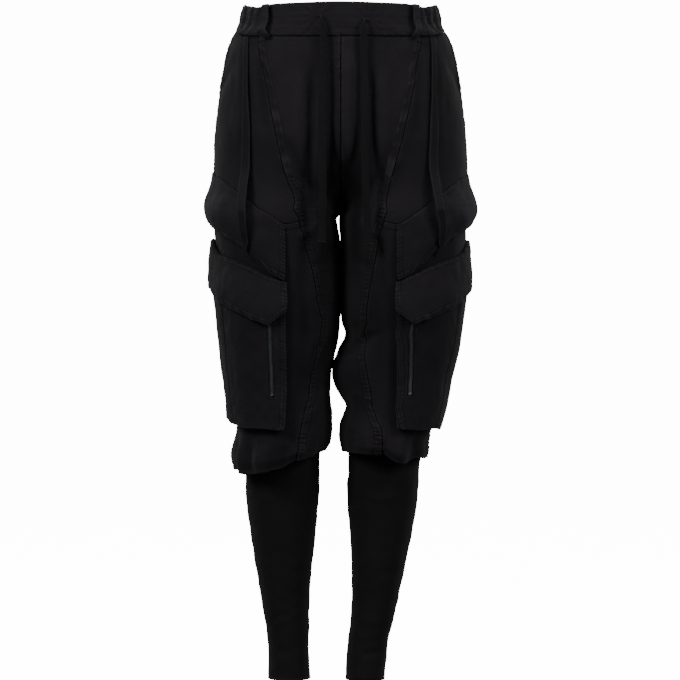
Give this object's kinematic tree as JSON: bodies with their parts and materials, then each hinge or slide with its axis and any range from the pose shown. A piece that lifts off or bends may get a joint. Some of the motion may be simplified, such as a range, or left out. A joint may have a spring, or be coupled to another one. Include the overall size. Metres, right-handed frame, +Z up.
{
  "type": "joggers",
  "caption": "Drop-crotch cargo joggers in dark twill: elasticated waist with ties, slanting hip pockets, zipped cargo pockets and fitted knit lower legs, worn and hollow.",
  "frame": {"origin": "middle of the waist, at the height of the flat waistband's centre line at the front", "axes": "+Z up, -Y the front of the garment, +X the viewer's right"},
  "size_m": [0.4111, 0.2675, 1.0156],
  "materials": {
    "twill": "brushed black cotton twill",
    "jersey": "matt black cotton jersey",
    "cord": "flat black cotton tape",
    "pocketing": "black pocketing",
    "zip_metal": "dark nickel"
  },
  "bodies": {
    "root": {"front_centre_left": "twill", "leg_front_left": "twill", "back_left": "twill", "hip_yoke_left": "twill", "pocket_tier_left": "twill", "pocket_face_left": "twill", "pocket_side_left": "twill", "pocket_gusset_left": "twill", "pocket_flap_left": "twill", "hip_facing_left": "pocketing", "knit_leg_left": "jersey", "side_strap_left": "cord", "drawcord_left": "cord", "pocket_zip_left": "zip_metal", "zip_stop_left": "zip_metal", "zip_slider_left": "zip_metal", "belt_loop_front_left": "twill", "belt_loop_back_left": "twill", "front_centre_right": "twill", "leg_front_right": "twill", "back_right": "twill", "hip_yoke_right": "twill", "pocket_tier_right": "twill", "pocket_face_right": "twill", "pocket_side_right": "twill", "pocket_gusset_right": "twill", "pocket_flap_right": "twill", "hip_facing_right": "pocketing", "knit_leg_right": "jersey", "side_strap_right": "cord", "drawcord_right": "cord", "pocket_zip_right": "zip_metal", "zip_stop_right": "zip_metal", "zip_slider_right": "zip_metal", "belt_loop_front_right": "twill", "belt_loop_back_right": "twill", "waistband_front": "twill", "waistband_elastic": "twill"}
  },
  "joints": []
}
